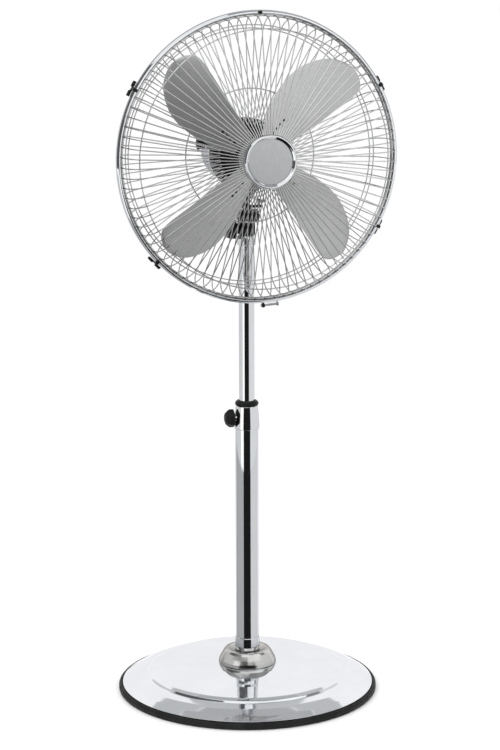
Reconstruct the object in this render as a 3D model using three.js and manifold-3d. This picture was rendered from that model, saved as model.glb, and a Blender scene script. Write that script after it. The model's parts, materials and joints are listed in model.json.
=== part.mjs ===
// Pedestal fan with a round base, a telescopic pole and an oscillating, tilting head.
// Millimetres, +Z up. The origin is on the floor, on the pole's axis. The fan blows towards -Y.
import * as THREE from 'three';
import { mergeVertices } from 'three/addons/utils/BufferGeometryUtils.js';
import Module from 'manifold-3d';

const wasm = await Module();
wasm.setup();

// ---- driving dimensions ------------------------------------------------------------------
const GAP = 0.3; // clearance between touching or turning neighbours

const BASE_RADIUS = 200;
const RUBBER_HEIGHT = 10;
const STEP_RADIUS = 154; // pressed step of the base cover
const COVER_WALL = 1.5;
const WEIGHT_R = 130;
const WEIGHT_Z = 18; // underside of the cast weight
const BELL_BOTTOM_Z = 40;
const BELL_TOP_Z = 62;

const OUTER_TUBE_R = 17.5;
const OUTER_TUBE_TOP = 418;
const INNER_TUBE_R = 11.75;
const TUBE_WALL = 1.5;
const COLLAR_BOTTOM_Z = 411;
const COLLAR_TOP_Z = 447;
const CLAMP_Z = 428;

const NECK_Z = 708; // top of the inner pole's collar
const TILT_Z = 737; // height of the tilt hinge
const PIVOT_Y = 1; // swivel pin of the head
const PIVOT_SEAT_Z = 762.4;

const HEAD_Z = 828; // motor axis
const RIM_AHEAD = 64; // guard rim plane, ahead of the pole's axis
const RIM_RADIUS = 214;
const GUARD_WIRES = 12; // radial wires of each guard
const WIRE = 2.4; // guard wire width
const MOTOR_FRONT = -50; // front face of the motor's end bell, behind the rim plane
const MOTOR_R = 55;
const HOUSING_R = 50.5;
const HOUSING_END = -172;
const BLADE_TIP_R = 192.5;
const BLADE_COUNT = 4;

const LINK_ARM_R = 20; // swivel pin to link anchor
const CRANK_R = 13;
const CRANK_X = 11;
const CRANK_Y = 80;

// ---- geometry helpers --------------------------------------------------------------------
function signedVolume(positions, index) {
  let volume = 0;
  const a = new THREE.Vector3();
  const b = new THREE.Vector3();
  const c = new THREE.Vector3();
  for (let i = 0; i < index.length; i += 3) {
    a.fromArray(positions, index[i] * 3);
    b.fromArray(positions, index[i + 1] * 3);
    c.fromArray(positions, index[i + 2] * 3);
    volume += a.dot(b.cross(c)) / 6;
  }
  return volume;
}

// A welded, outward facing manifold solid from any closed three.js geometry.
function solid(geometry) {
  const bare = geometry.clone();
  bare.deleteAttribute('normal');
  bare.deleteAttribute('uv');
  const welded = mergeVertices(bare, 1e-4);
  const positions = new Float32Array(welded.attributes.position.array);
  const kept = [];
  const index = welded.index.array;
  for (let i = 0; i < index.length; i += 3) {
    const [a, b, c] = [index[i], index[i + 1], index[i + 2]];
    if (a !== b && b !== c && c !== a) kept.push(a, b, c);
  }
  if (signedVolume(positions, kept) < 0) kept.reverse();
  return new wasm.Manifold(new wasm.Mesh({
    numProp: 3,
    vertProperties: positions,
    triVerts: new Uint32Array(kept),
  }));
}

function join(first, ...others) {
  return others.reduce((sum, other) => sum.add(other), first);
}

function cut(first, ...tools) {
  return tools.reduce((rest, tool) => rest.subtract(tool), first);
}

function geometryOf(manifold) {
  const mesh = manifold.getMesh();
  const geometry = new THREE.BufferGeometry();
  geometry.setAttribute('position', new THREE.BufferAttribute(new Float32Array(mesh.vertProperties), 3));
  geometry.setIndex(new THREE.BufferAttribute(new Uint32Array(mesh.triVerts), 1));
  geometry.computeVertexNormals();
  return geometry;
}

// A body of revolution about Z from [radius, z] pairs. A profile off the axis is closed on itself.
function turned(profile, segments = 24) {
  const points = profile.map(([r, z]) => new THREE.Vector2(r, z));
  const first = profile[0];
  const last = profile[profile.length - 1];
  if (first[0] > 0 || last[0] > 0) points.push(points[0].clone());
  const geometry = new THREE.LatheGeometry(points, segments);
  geometry.rotateX(Math.PI / 2);
  return solid(geometry);
}

function ring(inner, outer, low, high, segments = 24) {
  return turned([[inner, low], [outer, low], [outer, high], [inner, high]], segments);
}

function disc(radius, low, high, segments = 24) {
  const geometry = new THREE.CylinderGeometry(radius, radius, high - low, segments);
  geometry.rotateX(Math.PI / 2);
  geometry.translate(0, 0, (low + high) / 2);
  return solid(geometry);
}

// A round bar between two points.
function bar(from, to, radius, segments = 14) {
  const start = new THREE.Vector3(...from);
  const end = new THREE.Vector3(...to);
  const along = end.clone().sub(start);
  const geometry = new THREE.CylinderGeometry(radius, radius, along.length(), segments);
  const turn = new THREE.Quaternion().setFromUnitVectors(
    new THREE.Vector3(0, 1, 0), along.clone().normalize());
  geometry.applyQuaternion(turn);
  const middle = start.add(end).multiplyScalar(0.5);
  geometry.translate(middle.x, middle.y, middle.z);
  return solid(geometry);
}

function block(low, high) {
  const size = low.map((value, i) => high[i] - value);
  const geometry = new THREE.BoxGeometry(...size);
  geometry.translate(...low.map((value, i) => value + size[i] / 2));
  return solid(geometry);
}

// A flat plate: an outline in XY, raised along Z.
function plate(points, low, high, curveSegments = 8) {
  const shape = points instanceof THREE.Shape ? points
    : new THREE.Shape(points.map(([x, y]) => new THREE.Vector2(x, y)));
  const geometry = new THREE.ExtrudeGeometry(shape, {
    depth: high - low, bevelEnabled: false, curveSegments,
  });
  geometry.translate(0, 0, low);
  return solid(geometry);
}

// A fluted knob outline: a circle whose radius swells and dips round its edge.
function lobedOutline(radius, depth, lobes, pointsPerLobe = 4) {
  const count = lobes * pointsPerLobe;
  return Array.from({ length: count }, (_, i) => {
    const angle = i / count * Math.PI * 2;
    const r = radius - depth * (0.5 - 0.5 * Math.cos(angle * lobes));
    return [r * Math.cos(angle), r * Math.sin(angle)];
  });
}

const onX = (manifold, x, y, z) => manifold.rotate([0, -90, 0]).translate([x, y, z]);

// ---- materials ---------------------------------------------------------------------------
const finishes = {
  chrome: [0xdfe3e8, 0.08, 1],
  aluminium: [0xb4b6b8, 0.4, 1],
  steel: [0x8b8f94, 0.35, 1],
  brass: [0xb89a55, 0.35, 1],
  copper: [0xa8633a, 0.4, 1],
  iron: [0x4a4b4d, 0.8, 0.6],
  black: [0x151517, 0.4, 0],
  rubber: [0x0d0d0e, 0.85, 0],
  bush: [0xd9d6cc, 0.6, 0],
};

function add(group, name, manifold, finish) {
  const [color, roughness, metalness] = finishes[finish];
  const material = new THREE.MeshStandardMaterial({ color, roughness, metalness });
  const mesh = new THREE.Mesh(geometryOf(manifold), material);
  mesh.name = name;
  group.add(mesh);
  return mesh;
}

const fan = new THREE.Group();

// ---- base --------------------------------------------------------------------------------
const base = new THREE.Group();
fan.add(base);

const coverTop = [
  [19, 40], [60, 38.5], [110, 34.5], [STEP_RADIUS - 4, 30], [STEP_RADIUS, 28.5],
  [STEP_RADIUS + 2, 25.5], [170, 22.5], [184, 16.5], [192, 11.8], [194, RUBBER_HEIGHT + GAP],
];
const coverUnder = [
  [192, RUBBER_HEIGHT + GAP], [183, 15], [169.5, 21], [STEP_RADIUS + 1, 24],
  [STEP_RADIUS - 2, 27], [110, 34.5 - COVER_WALL], [60, 38.5 - COVER_WALL], [19, 40 - COVER_WALL],
];
add(base, 'base_cover', turned([...coverTop, ...coverUnder], 40), 'chrome');
add(base, 'base_weight', turned([
  [12, WEIGHT_Z], [WEIGHT_R, WEIGHT_Z], [WEIGHT_R, 28], [60, 34], [12, 36],
], 28), 'iron');
add(base, 'base_rubber_ring', turned([
  [186, 0], [199, 0], [BASE_RADIUS, 1.5], [BASE_RADIUS, 7], [197, RUBBER_HEIGHT], [186, RUBBER_HEIGHT],
], 40), 'rubber');
add(base, 'base_escutcheon', turned([
  [43, BELL_BOTTOM_Z], [44.5, BELL_BOTTOM_Z + 1], [41, 50], [35, 60], [33, BELL_TOP_Z],
  [28, 61.4], [OUTER_TUBE_R + GAP, 59.5], [OUTER_TUBE_R + GAP, 58], [28, 59.8], [32, 60.2], [39, 49.5],
], 28), 'chrome');
add(base, 'pole_foot_sleeve', turned([
  [OUTER_TUBE_R + GAP, 60], [18.6, 62], [19, 66], [18.4, 80], [OUTER_TUBE_R + GAP, 80.6],
]), 'chrome');
add(base, 'outer_pole', ring(OUTER_TUBE_R - TUBE_WALL, OUTER_TUBE_R, 42, OUTER_TUBE_TOP), 'chrome');
add(base, 'pole_foot_plug', turned([
  [8.3, 36.6], [18, 36.6], [18, 41.6], [15.7, 41.6], [15.7, 58], [8.3, 58],
], 20), 'steel');
const boltHead = disc(11.6, WEIGHT_Z - 6.3, WEIGHT_Z - GAP, 6);
add(base, 'base_bolt', join(disc(8, WEIGHT_Z - 6.3, 56, 16), boltHead), 'steel');

// ---- height collar -----------------------------------------------------------------------
const clampHole = bar([0, 0, CLAMP_Z], [-40, 0, CLAMP_Z], 3 + GAP);
add(base, 'collar_sleeve', cut(join(
  turned([
    [OUTER_TUBE_R + GAP, COLLAR_BOTTOM_Z], [19.3, COLLAR_BOTTOM_Z], [18.2, 432], [16.9, COLLAR_TOP_Z],
    [12.3, COLLAR_TOP_Z], [12.3, OUTER_TUBE_TOP + GAP], [OUTER_TUBE_R + GAP, OUTER_TUBE_TOP + GAP],
  ]),
  bar([-14, 0, CLAMP_Z], [-20.6, 0, CLAMP_Z], 5.5),
), clampHole), 'chrome');
add(base, 'collar_ring', turned([
  [12.3, COLLAR_TOP_Z + GAP], [17, COLLAR_TOP_Z + GAP], [18, COLLAR_TOP_Z + 2.5], [17.6, COLLAR_TOP_Z + 5],
  [14.5, COLLAR_TOP_Z + 8], [12.3, COLLAR_TOP_Z + 8],
]), 'black');
const guideBush = ring(INNER_TUBE_R + GAP, OUTER_TUBE_R - TUBE_WALL - GAP, 380, 417, 24);
add(base, 'pole_guide_bush', guideBush, 'bush');

const clamp = new THREE.Group();
fan.add(clamp);
const clampBody = join(
  plate(lobedOutline(14, 1.6, 6), 0, 7.5),
  turned([[0, 7], [12.2, 7], [10, 11.5], [6, 13.8], [0, 14]], 24),
);
const clampRecess = turned([[0, -1], [11.5, -1], [4.2, 4], [3 + GAP, 4], [3 + GAP, 10], [0, 10]], 20);
add(clamp, 'clamp_knob', onX(cut(clampBody, clampRecess), -21.2, 0, CLAMP_Z), 'black');
add(clamp, 'clamp_screw', bar([-12.3, 0, CLAMP_Z], [-30.8, 0, CLAMP_Z], 3), 'steel');

// ---- inner pole and neck -----------------------------------------------------------------
const riser = new THREE.Group();
fan.add(riser);
add(riser, 'inner_pole', ring(INNER_TUBE_R - TUBE_WALL, INNER_TUBE_R, 255, 706, 24), 'chrome');
add(riser, 'inner_pole_bush', turned([
  [10, 240], [15.6, 240], [15.6, 254.6], [10, 254.6],
], 24), 'bush');
add(riser, 'pole_top_collar', turned([
  [INNER_TUBE_R + GAP, 692], [13.4, 692], [14, 694], [14, 704], [13, NECK_Z - GAP],
  [INNER_TUBE_R + GAP, NECK_Z - GAP],
]), 'chrome');

const EAR_IN = 5;
const EAR_OUT = 11.2;
const yokeEar = (x0, x1) => join(
  bar([x0, 0, TILT_Z], [x1, 0, TILT_Z], 9.6, 20),
  block([x0, -9.6, NECK_Z + 6], [x1, 9.6, TILT_Z]),
);
add(riser, 'neck_yoke', cut(join(
  turned([[0, 684], [9.9, 684], [9.9, NECK_Z], [11, NECK_Z], [11, 716], [0, 716]], 24),
  block([-EAR_OUT, -10.8, NECK_Z], [EAR_OUT, 12, 726]),
  yokeEar(-EAR_OUT, -EAR_IN),
  yokeEar(EAR_IN, EAR_OUT),
), bar([-20, 0, TILT_Z], [20, 0, TILT_Z], 3 + GAP)), 'black');
const hexHead = onX(plate(lobedOutline(6, 0, 1, 6), 0, 4), -EAR_OUT - GAP, 0, TILT_Z);
add(riser, 'tilt_bolt', join(bar([-12.5, 0, TILT_Z], [17.5, 0, TILT_Z], 3), hexHead), 'steel');

const BOX_Y = 16;
const BOX_Z = 717;
add(riser, 'switch_housing', cut(join(
  block([-26, 1, 702], [-14.4, 30, 730]),
  block([-15, 1, 709], [-EAR_OUT - GAP, 13, 725]),
), block([-27, BOX_Y - 3.3, BOX_Z - 3.3], [-20, BOX_Y + 3.3, BOX_Z + 3.3])), 'black');
add(riser, 'cable_gland', bar([-18.5, 30.3, 712], [-18.5, 40, 712], 5, 12), 'black');

const speed = new THREE.Group();
fan.add(speed);
add(speed, 'speed_knob', join(
  onX(plate(lobedOutline(11, 0.9, 12, 2), 0, 9.5), -26.4, BOX_Y, BOX_Z),
  bar([-21, BOX_Y, BOX_Z], [-28, BOX_Y, BOX_Z], 2.8, 12),
), 'black');

const tiltLock = new THREE.Group();
fan.add(tiltLock);
add(tiltLock, 'tilt_lock_knob', cut(
  onX(plate(lobedOutline(9.3, 1, 8, 3), 0, 7), EAR_OUT + GAP + 7, 0, TILT_Z),
  bar([5, 0, TILT_Z], [30, 0, TILT_Z], 3 + GAP),
), 'black');

// ---- tilting bracket ---------------------------------------------------------------------
const tilting = new THREE.Group();
fan.add(tilting);
const ANCHOR_Z = TILT_Z + 11;
add(tilting, 'tilt_bracket', cut(join(
  bar([-4.6, 0, TILT_Z], [4.6, 0, TILT_Z], 9.3, 20),
  block([-4.6, -9.3, TILT_Z], [4.6, 6, ANCHOR_Z + 2]),
  bar([0, PIVOT_Y, ANCHOR_Z], [0, PIVOT_Y, ANCHOR_Z + 4.5], 9.4, 20),
  bar([0, PIVOT_Y, ANCHOR_Z + 1], [0, PIVOT_Y, PIVOT_SEAT_Z], 6, 20),
  block([0, PIVOT_Y - 4.5, ANCHOR_Z], [LINK_ARM_R, PIVOT_Y + 4.5, ANCHOR_Z + 4]),
  bar([LINK_ARM_R, PIVOT_Y, ANCHOR_Z], [LINK_ARM_R, PIVOT_Y, ANCHOR_Z + 4], 4.5, 16),
  bar([LINK_ARM_R, PIVOT_Y, ANCHOR_Z + 2], [LINK_ARM_R, PIVOT_Y, ANCHOR_Z + 13], 2.2, 12),
),
bar([-20, 0, TILT_Z], [20, 0, TILT_Z], 3 + GAP),
bar([0, PIVOT_Y, ANCHOR_Z + 1], [0, PIVOT_Y, 770], 3.5 + GAP),
), 'black');

// ---- head: local +Z is forward, local +Y is up --------------------------------------------
const head = new THREE.Group();
head.position.set(0, -RIM_AHEAD, HEAD_Z);
head.rotation.x = Math.PI / 2;
fan.add(head);

const down = (z) => z - HEAD_Z; // world height to head Y
const behind = (y) => -(y + RIM_AHEAD); // world Y to head Z
const PIVOT_DEPTH = behind(PIVOT_Y);

const bellBody = turned([
  [12.5, MOTOR_FRONT - 26], [HOUSING_R + 2, MOTOR_FRONT - 26], [MOTOR_R, MOTOR_FRONT - 22],
  [MOTOR_R, MOTOR_FRONT - 5], [MOTOR_R - 5, MOTOR_FRONT], [24, MOTOR_FRONT], [24, MOTOR_FRONT + 10],
  [12.5, MOTOR_FRONT + 10],
], 32);
const bellHollow = ring(12, HOUSING_R - 6, MOTOR_FRONT - 27, MOTOR_FRONT - 6, 32);
const lugTop = [0, -MOTOR_R + 12, PIVOT_DEPTH];
const lugBottom = [0, down(PIVOT_SEAT_Z + 0.4), PIVOT_DEPTH];
add(head, 'motor_front_cover', cut(
  cut(bellBody, bellHollow).add(bar([0, -MOTOR_R + 2, PIVOT_DEPTH], lugBottom, 10, 20)),
  bar(lugTop, [0, down(755), PIVOT_DEPTH], 3.5 + GAP),
), 'black');
const pinTop = [0, down(PIVOT_SEAT_Z + 12), PIVOT_DEPTH];
add(head, 'swivel_pin', bar(pinTop, [0, down(750.5), PIVOT_DEPTH], 3.5), 'steel');

const housingFront = MOTOR_FRONT - 26 - GAP;
const outerShell = [
  [0, HOUSING_END], [26, HOUSING_END + 2], [39, HOUSING_END + 9], [46, HOUSING_END + 22],
  [49, HOUSING_END + 40], [HOUSING_R, housingFront],
];
const innerShell = [
  [HOUSING_R - 1.6, housingFront], [47.4, HOUSING_END + 40], [44.4, HOUSING_END + 23],
  [38, HOUSING_END + 11], [26, HOUSING_END + 4], [0, HOUSING_END + 2],
];
const CRANK_DEPTH = behind(CRANK_Y);
const KNOB_DEPTH = -115;
const KNOB_UP = 13;
const KNOB_X = -50.6;
add(head, 'motor_housing', cut(
  turned([...outerShell, ...innerShell], 28),
  bar([CRANK_X, -30, CRANK_DEPTH], [CRANK_X, -70, CRANK_DEPTH], 6),
  bar([-36, KNOB_UP, KNOB_DEPTH], [-70, KNOB_UP, KNOB_DEPTH], 3.6),
), 'chrome');
add(head, 'stator', ring(24, HOUSING_R - 4.5, -112, housingFront, 16), 'copper');
add(head, 'front_bearing', ring(4.3, 11.7, MOTOR_FRONT - 12, MOTOR_FRONT - 5, 16), 'brass');
add(head, 'rear_bearing', ring(4.3, 11.7, -132, -125, 16), 'brass');
add(head, 'gearbox_case', cut(
  join(block([-14, -24, -160], [24, 12, -134]), ring(12, 15, -135, -125, 16)),
  block([-12, -22, -158], [22, 10, -136]),
  bar([0, 0, -137], [0, 0, -120], 8),
  bar([CRANK_X, -10, CRANK_DEPTH], [CRANK_X, -40, CRANK_DEPTH], 4.5),
), 'black');

const oscillation = new THREE.Group();
head.add(oscillation);
add(oscillation, 'oscillation_knob', join(
  onX(plate(lobedOutline(9, 0.7, 10, 2), 0, 11), KNOB_X, KNOB_UP, KNOB_DEPTH),
  bar([KNOB_X + 10, KNOB_UP, KNOB_DEPTH], [KNOB_X - 1, KNOB_UP, KNOB_DEPTH], 3, 12),
), 'black');

// swivel drive: the crank under the gearbox pulls the link, which pivots on the tilt bracket
const LINK_Z = 756;
const upright = (x, top, bottom, radius, segments) => bar(
  [x, down(top), CRANK_DEPTH], [x, down(bottom), CRANK_DEPTH], radius, segments);
const crank = new THREE.Group();
head.add(crank);
add(crank, 'worm_gear', cut(
  bar([CRANK_X, -6, CRANK_DEPTH], [CRANK_X, 6, CRANK_DEPTH], 5.4, 16),
  bar([CRANK_X, -9, CRANK_DEPTH], [CRANK_X, 9, CRANK_DEPTH], 2.5 + GAP, 12),
), 'brass');
add(crank, 'crank_disc', join(
  bar([CRANK_X, 8, CRANK_DEPTH], [CRANK_X, -14, CRANK_DEPTH], 2.5, 12),
  bar([CRANK_X, -12, CRANK_DEPTH], [CRANK_X, down(LINK_Z + 8), CRANK_DEPTH], 3.5, 12),
  upright(CRANK_X, LINK_Z + 9, LINK_Z + 5, CRANK_R + 5, 24),
  upright(CRANK_X + CRANK_R, LINK_Z + 6, LINK_Z - 4, 2.2, 12),
), 'steel');

const link = new THREE.Group();
fan.add(link);
const linkX = CRANK_X + CRANK_R;
const linkPlate = (radius, x, y) => bar([x, y, LINK_Z], [x, y, LINK_Z + 3], radius, 20);
add(link, 'link_arm', cut(
  join(
    linkPlate(9.3, linkX, PIVOT_Y),
    linkPlate(5, linkX, CRANK_Y),
    block([linkX - 3.5, PIVOT_Y + 7.5, LINK_Z], [linkX + 3.5, CRANK_Y - 2, LINK_Z + 3]),
  ),
  bar([linkX, PIVOT_Y, LINK_Z - 5], [linkX, PIVOT_Y, LINK_Z + 8], 6.8),
  bar([linkX, CRANK_Y, LINK_Z - 5], [linkX, CRANK_Y, LINK_Z + 8], 2.2 + GAP),
), 'steel');

// ---- fan blades --------------------------------------------------------------------------
const spin = new THREE.Group();
head.add(spin);
const BLADE_Z = -2;
const ROOT_PITCH = THREE.MathUtils.degToRad(26);
const TIP_PITCH = THREE.MathUtils.degToRad(15);
const FIRST_BLADE = 49.5;
add(spin, 'motor_shaft', join(
  bar([0, 0, -157], [0, 0, 24], 4, 14),
  bar([0, 0, -157], [0, 0, -136], 5.2, 14),
), 'steel');
add(spin, 'rotor', ring(4.3, 22, -110, -80, 18), 'iron');

// Blade outline: radius, trailing edge angle and leading edge angle from the blade's middle line.
const bladeRows = [
  [34, -28, 28], [50, -24, 27], [80, -20.5, 23.5], [110, -19, 19.5], [140, -18.3, 14.5],
  [163, -17.8, 8.5], [179, -16.5, 3], [188, -13, -2], [BLADE_TIP_R, -8.5, -6.5],
];

function bladeSolid(thickness, columns) {
  const rows = bladeRows.length;
  const faces = [thickness / 2, -thickness / 2];
  const positions = [];
  for (const offset of faces) {
    for (const [radius, trailing, leading] of bladeRows) {
      for (let c = 0; c <= columns; c++) {
        const angle = THREE.MathUtils.degToRad(trailing + (leading - trailing) * c / columns);
        const x = radius * Math.cos(angle);
        const y = radius * Math.sin(angle);
        const along = Math.max(0, (x - 80) / (BLADE_TIP_R - 80));
        const pitch = ROOT_PITCH + (TIP_PITCH - ROOT_PITCH) * along;
        positions.push(x, y, BLADE_Z - y * Math.tan(pitch) + offset);
      }
    }
  }
  const at = (face, row, column) => (face * rows + row) * (columns + 1) + column;
  const index = [];
  const quad = (a, b, c, d) => index.push(a, b, c, a, c, d);
  for (let r = 0; r < rows - 1; r++) {
    for (let c = 0; c < columns; c++) {
      quad(at(0, r, c), at(0, r + 1, c), at(0, r + 1, c + 1), at(0, r, c + 1));
      quad(at(1, r, c), at(1, r, c + 1), at(1, r + 1, c + 1), at(1, r + 1, c));
    }
    quad(at(0, r, 0), at(1, r, 0), at(1, r + 1, 0), at(0, r + 1, 0));
    quad(at(0, r, columns), at(0, r + 1, columns), at(1, r + 1, columns), at(1, r, columns));
  }
  for (let c = 0; c < columns; c++) {
    quad(at(0, 0, c), at(0, 0, c + 1), at(1, 0, c + 1), at(1, 0, c));
    quad(at(0, rows - 1, c), at(1, rows - 1, c), at(1, rows - 1, c + 1), at(0, rows - 1, c + 1));
  }
  const geometry = new THREE.BufferGeometry();
  geometry.setAttribute('position', new THREE.Float32BufferAttribute(positions, 3));
  geometry.setIndex(index);
  return solid(geometry);
}

const bladeAngles = Array.from({ length: BLADE_COUNT }, (_, i) => FIRST_BLADE + i * 360 / BLADE_COUNT);
const spiderArm = (angle) => {
  const arm = new THREE.BoxGeometry(46, 18, 1.6);
  arm.translate(41, 0, 0);
  arm.rotateX(-ROOT_PITCH);
  arm.translate(0, 0, BLADE_Z - 2.2);
  return solid(arm).rotate([0, 0, angle]);
};
add(spin, 'blade_spider', join(
  ring(4.3, 13, -12, 15, 24),
  ring(12, 30, -4.5, -1.5, 24),
  ...bladeAngles.map(spiderArm),
), 'aluminium');
bladeAngles.forEach((angle, i) => {
  const blade = add(spin, `blade_${i + 1}`, bladeSolid(1.4, 4), 'aluminium');
  blade.rotation.z = THREE.MathUtils.degToRad(angle);
});
add(spin, 'blade_nut', cut(
  plate(lobedOutline(12, 1.2, 6), 15.3, 26),
  disc(4.3, 10, 24.3, 14),
), 'black');

// ---- guards ------------------------------------------------------------------------------
const RIM_WIRE_R = 206.4;
// One wire of each guard as radius and depth: its side part, from the rim over the shoulder, and its
// face part, from the shoulder to the middle.
const frontSide = [[RIM_WIRE_R, 2.4], [205.5, 13], [199.5, 25.5], [190, 34.5], [184.5, 37.8]];
const frontFace = [[184.1, 38.1], [176, 41.4], [36, 52]];
const rearSide = [[RIM_WIRE_R, -2.4], [205.5, -15], [199, -30], [190, -39.5], [184.5, -42.5]];
const rearFace = [[184.1, -42.7], [177, -44.6], [46, -46.8]];

// One flat-sided radial wire: a square section along the path.
function radialWire(path, angle, width) {
  const half = width / 2;
  const outline = [];
  const normals = path.map((point, i) => {
    const before = path[Math.max(0, i - 1)];
    const after = path[Math.min(path.length - 1, i + 1)];
    const length = Math.hypot(after[0] - before[0], after[1] - before[1]);
    return [-(after[1] - before[1]) / length, (after[0] - before[0]) / length];
  });
  path.forEach(([r, z], i) => outline.push([r + normals[i][0] * half, z + normals[i][1] * half]));
  [...path.keys()].reverse().forEach((i) => {
    outline.push([path[i][0] - normals[i][0] * half, path[i][1] - normals[i][1] * half]);
  });
  const shape = new THREE.Shape(outline.map(([r, z]) => new THREE.Vector2(r, z)));
  const geometry = new THREE.ExtrudeGeometry(shape, { depth: width, bevelEnabled: false });
  geometry.translate(0, 0, -half);
  geometry.rotateX(Math.PI / 2);
  geometry.rotateZ(angle);
  return solid(geometry);
}

function wireRing([radius, depth], width, segments = 32) {
  const half = width / 2;
  return ring(radius - half, radius + half, depth - half, depth + half, segments);
}

const wiresAlong = (path) => Array.from({ length: GUARD_WIRES },
  (_, i) => radialWire(path, i / GUARD_WIRES * Math.PI * 2, WIRE));

function addGuard(side, sidePath, facePath, plateRing) {
  const rimRing = wireRing(sidePath[0], 3.8);
  const shoulderRing = wireRing(sidePath[3], 2.2);
  add(head, `${side}_guard_side`, join(rimRing, shoulderRing, ...wiresAlong(sidePath)), 'chrome');
  add(head, `${side}_guard_face`, join(plateRing, ...wiresAlong(facePath)), 'chrome');
}

addGuard('rear', rearSide, rearFace, ring(24.4, 49, -48, -45, 32));
add(head, 'rear_guard_middle_ring', wireRing([99, -43.2], 2.2), 'chrome');
add(head, 'rear_guard_nut', ring(24.4, 37, -44.6, -39.5, 24), 'black');
addGuard('front', frontSide, frontFace, ring(32, 38, 50.5, 53.5, 32));
add(head, 'badge_back_plate', disc(37, 46.8, 48.6, 28), 'chrome');
add(head, 'badge_bezel', turned([
  [33, 54], [39.5, 54], [39.5, 57.5], [37, 60], [35.5, 60], [33, 57.5],
], 28), 'chrome');
add(head, 'badge_disc', disc(32.6, 54.2, 57, 28), 'aluminium');

const LIP = 5.8;
const LIP_R = 208.2; // inner edge of the trim's lips
add(head, 'guard_trim_ring', turned([
  [LIP_R, LIP], [213, LIP], [RIM_RADIUS, LIP - 1], [RIM_RADIUS, 1 - LIP], [213, -LIP], [LIP_R, -LIP],
  [LIP_R, 1 - LIP], [211.4, 1 - LIP], [211.4, LIP - 1], [LIP_R, LIP - 1],
], 40), 'chrome');

// Draw screw that closes the split trim ring, with its nut, along the rim's tangent.
const LOCK_ANGLE = -86;
const lock = new THREE.Group();
lock.rotation.z = THREE.MathUtils.degToRad(LOCK_ANGLE);
head.add(lock);
const lockR = RIM_RADIUS + 3.6;
add(lock, 'lock_screw', join(
  bar([lockR, -13, 0], [lockR, 12, 0], 1.8, 12),
  bar([lockR, 12, 0], [lockR, 15, 0], 3.3, 12),
), 'steel');
add(lock, 'lock_nut', cut(
  bar([lockR, -11, 0], [lockR, -7, 0], 3.3, 6),
  bar([lockR, -15, 0], [lockR, -5, 0], 1.8 + GAP, 12),
), 'black');
add(head, 'guard_top_hook', block([-3, 208.2, LIP + GAP], [3, 213, LIP + 3]), 'black');

// Spring clips over the trim ring, hinged at its back edge: a pad, a narrow front hook and two finger lugs.
const CLIP_ANGLES = [29, 151, 223, 330];
const CLIP_HALF = 12;
CLIP_ANGLES.forEach((angle, i) => {
  const clip = new THREE.Group();
  clip.rotation.z = THREE.MathUtils.degToRad(angle);
  head.add(clip);
  add(clip, `guard_clip_${i + 1}`, join(
    block([RIM_RADIUS + 0.4, -CLIP_HALF, -9], [RIM_RADIUS + 2.6, CLIP_HALF, -1]),
    block([RIM_RADIUS + 0.4, -2.5, -9], [RIM_RADIUS + 2.6, 2.5, LIP + 2.3]),
    block([209.5, -2.5, LIP + GAP], [RIM_RADIUS + 2.6, 2.5, LIP + 2.3]),
    block([RIM_RADIUS + 1, -CLIP_HALF, -9], [RIM_RADIUS + 4.6, -2.5, -3]),
    block([RIM_RADIUS + 1, 2.5, -9], [RIM_RADIUS + 4.6, CLIP_HALF, -3]),
  ), 'black');
});

export default fan;
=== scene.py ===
"""Chromed pedestal fan: the looks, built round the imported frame. Metres, +Z up, the fan blows towards -Y."""
import json
import math

import bmesh
import bpy
from mathutils import Matrix, Vector


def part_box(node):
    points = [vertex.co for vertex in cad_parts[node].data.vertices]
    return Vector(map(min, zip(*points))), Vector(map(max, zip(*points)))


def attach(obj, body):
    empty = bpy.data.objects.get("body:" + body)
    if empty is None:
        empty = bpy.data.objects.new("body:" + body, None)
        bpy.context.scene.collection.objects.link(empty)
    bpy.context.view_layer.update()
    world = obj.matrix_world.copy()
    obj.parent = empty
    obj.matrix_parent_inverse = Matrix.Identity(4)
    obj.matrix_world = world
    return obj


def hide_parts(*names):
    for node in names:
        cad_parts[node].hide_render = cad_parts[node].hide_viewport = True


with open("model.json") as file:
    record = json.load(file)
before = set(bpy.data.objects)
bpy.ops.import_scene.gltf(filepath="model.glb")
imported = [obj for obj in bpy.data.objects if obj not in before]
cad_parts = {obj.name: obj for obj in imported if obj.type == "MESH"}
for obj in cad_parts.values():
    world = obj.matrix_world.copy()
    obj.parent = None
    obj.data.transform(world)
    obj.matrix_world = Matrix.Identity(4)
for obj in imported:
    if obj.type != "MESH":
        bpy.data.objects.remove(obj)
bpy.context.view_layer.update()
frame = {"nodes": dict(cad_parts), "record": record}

MM = 0.001
TAU = 2 * math.pi


# ---- places read from the frame -----------------------------------------------------------
def middle(node):
    """The middle of a CAD node's box, in metres."""
    low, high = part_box(node)
    return (low + high) / 2


trim_middle = middle("guard_trim_ring")
HEAD = Matrix.Translation(trim_middle) @ Matrix.Rotation(math.radians(90), 4, "X")  # +Z forward
WORLD = Matrix.Identity(4)
RIM_R = (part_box("guard_trim_ring")[1].x - trim_middle.x) / MM
CLAMP_Z = middle("clamp_knob").z / MM
TILT_Z = middle("tilt_lock_knob").z / MM
# Two cross axes in millimetres: the first turns +Z to +X, the second turns it to -X.
TILT_AXIS = Matrix.Translation((0, 0, TILT_Z)) @ Matrix.Rotation(math.radians(90), 4, "Y")
CLAMP_AXIS = Matrix.Translation((0, 0, CLAMP_Z)) @ Matrix.Rotation(math.radians(-90), 4, "Y")


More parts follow.
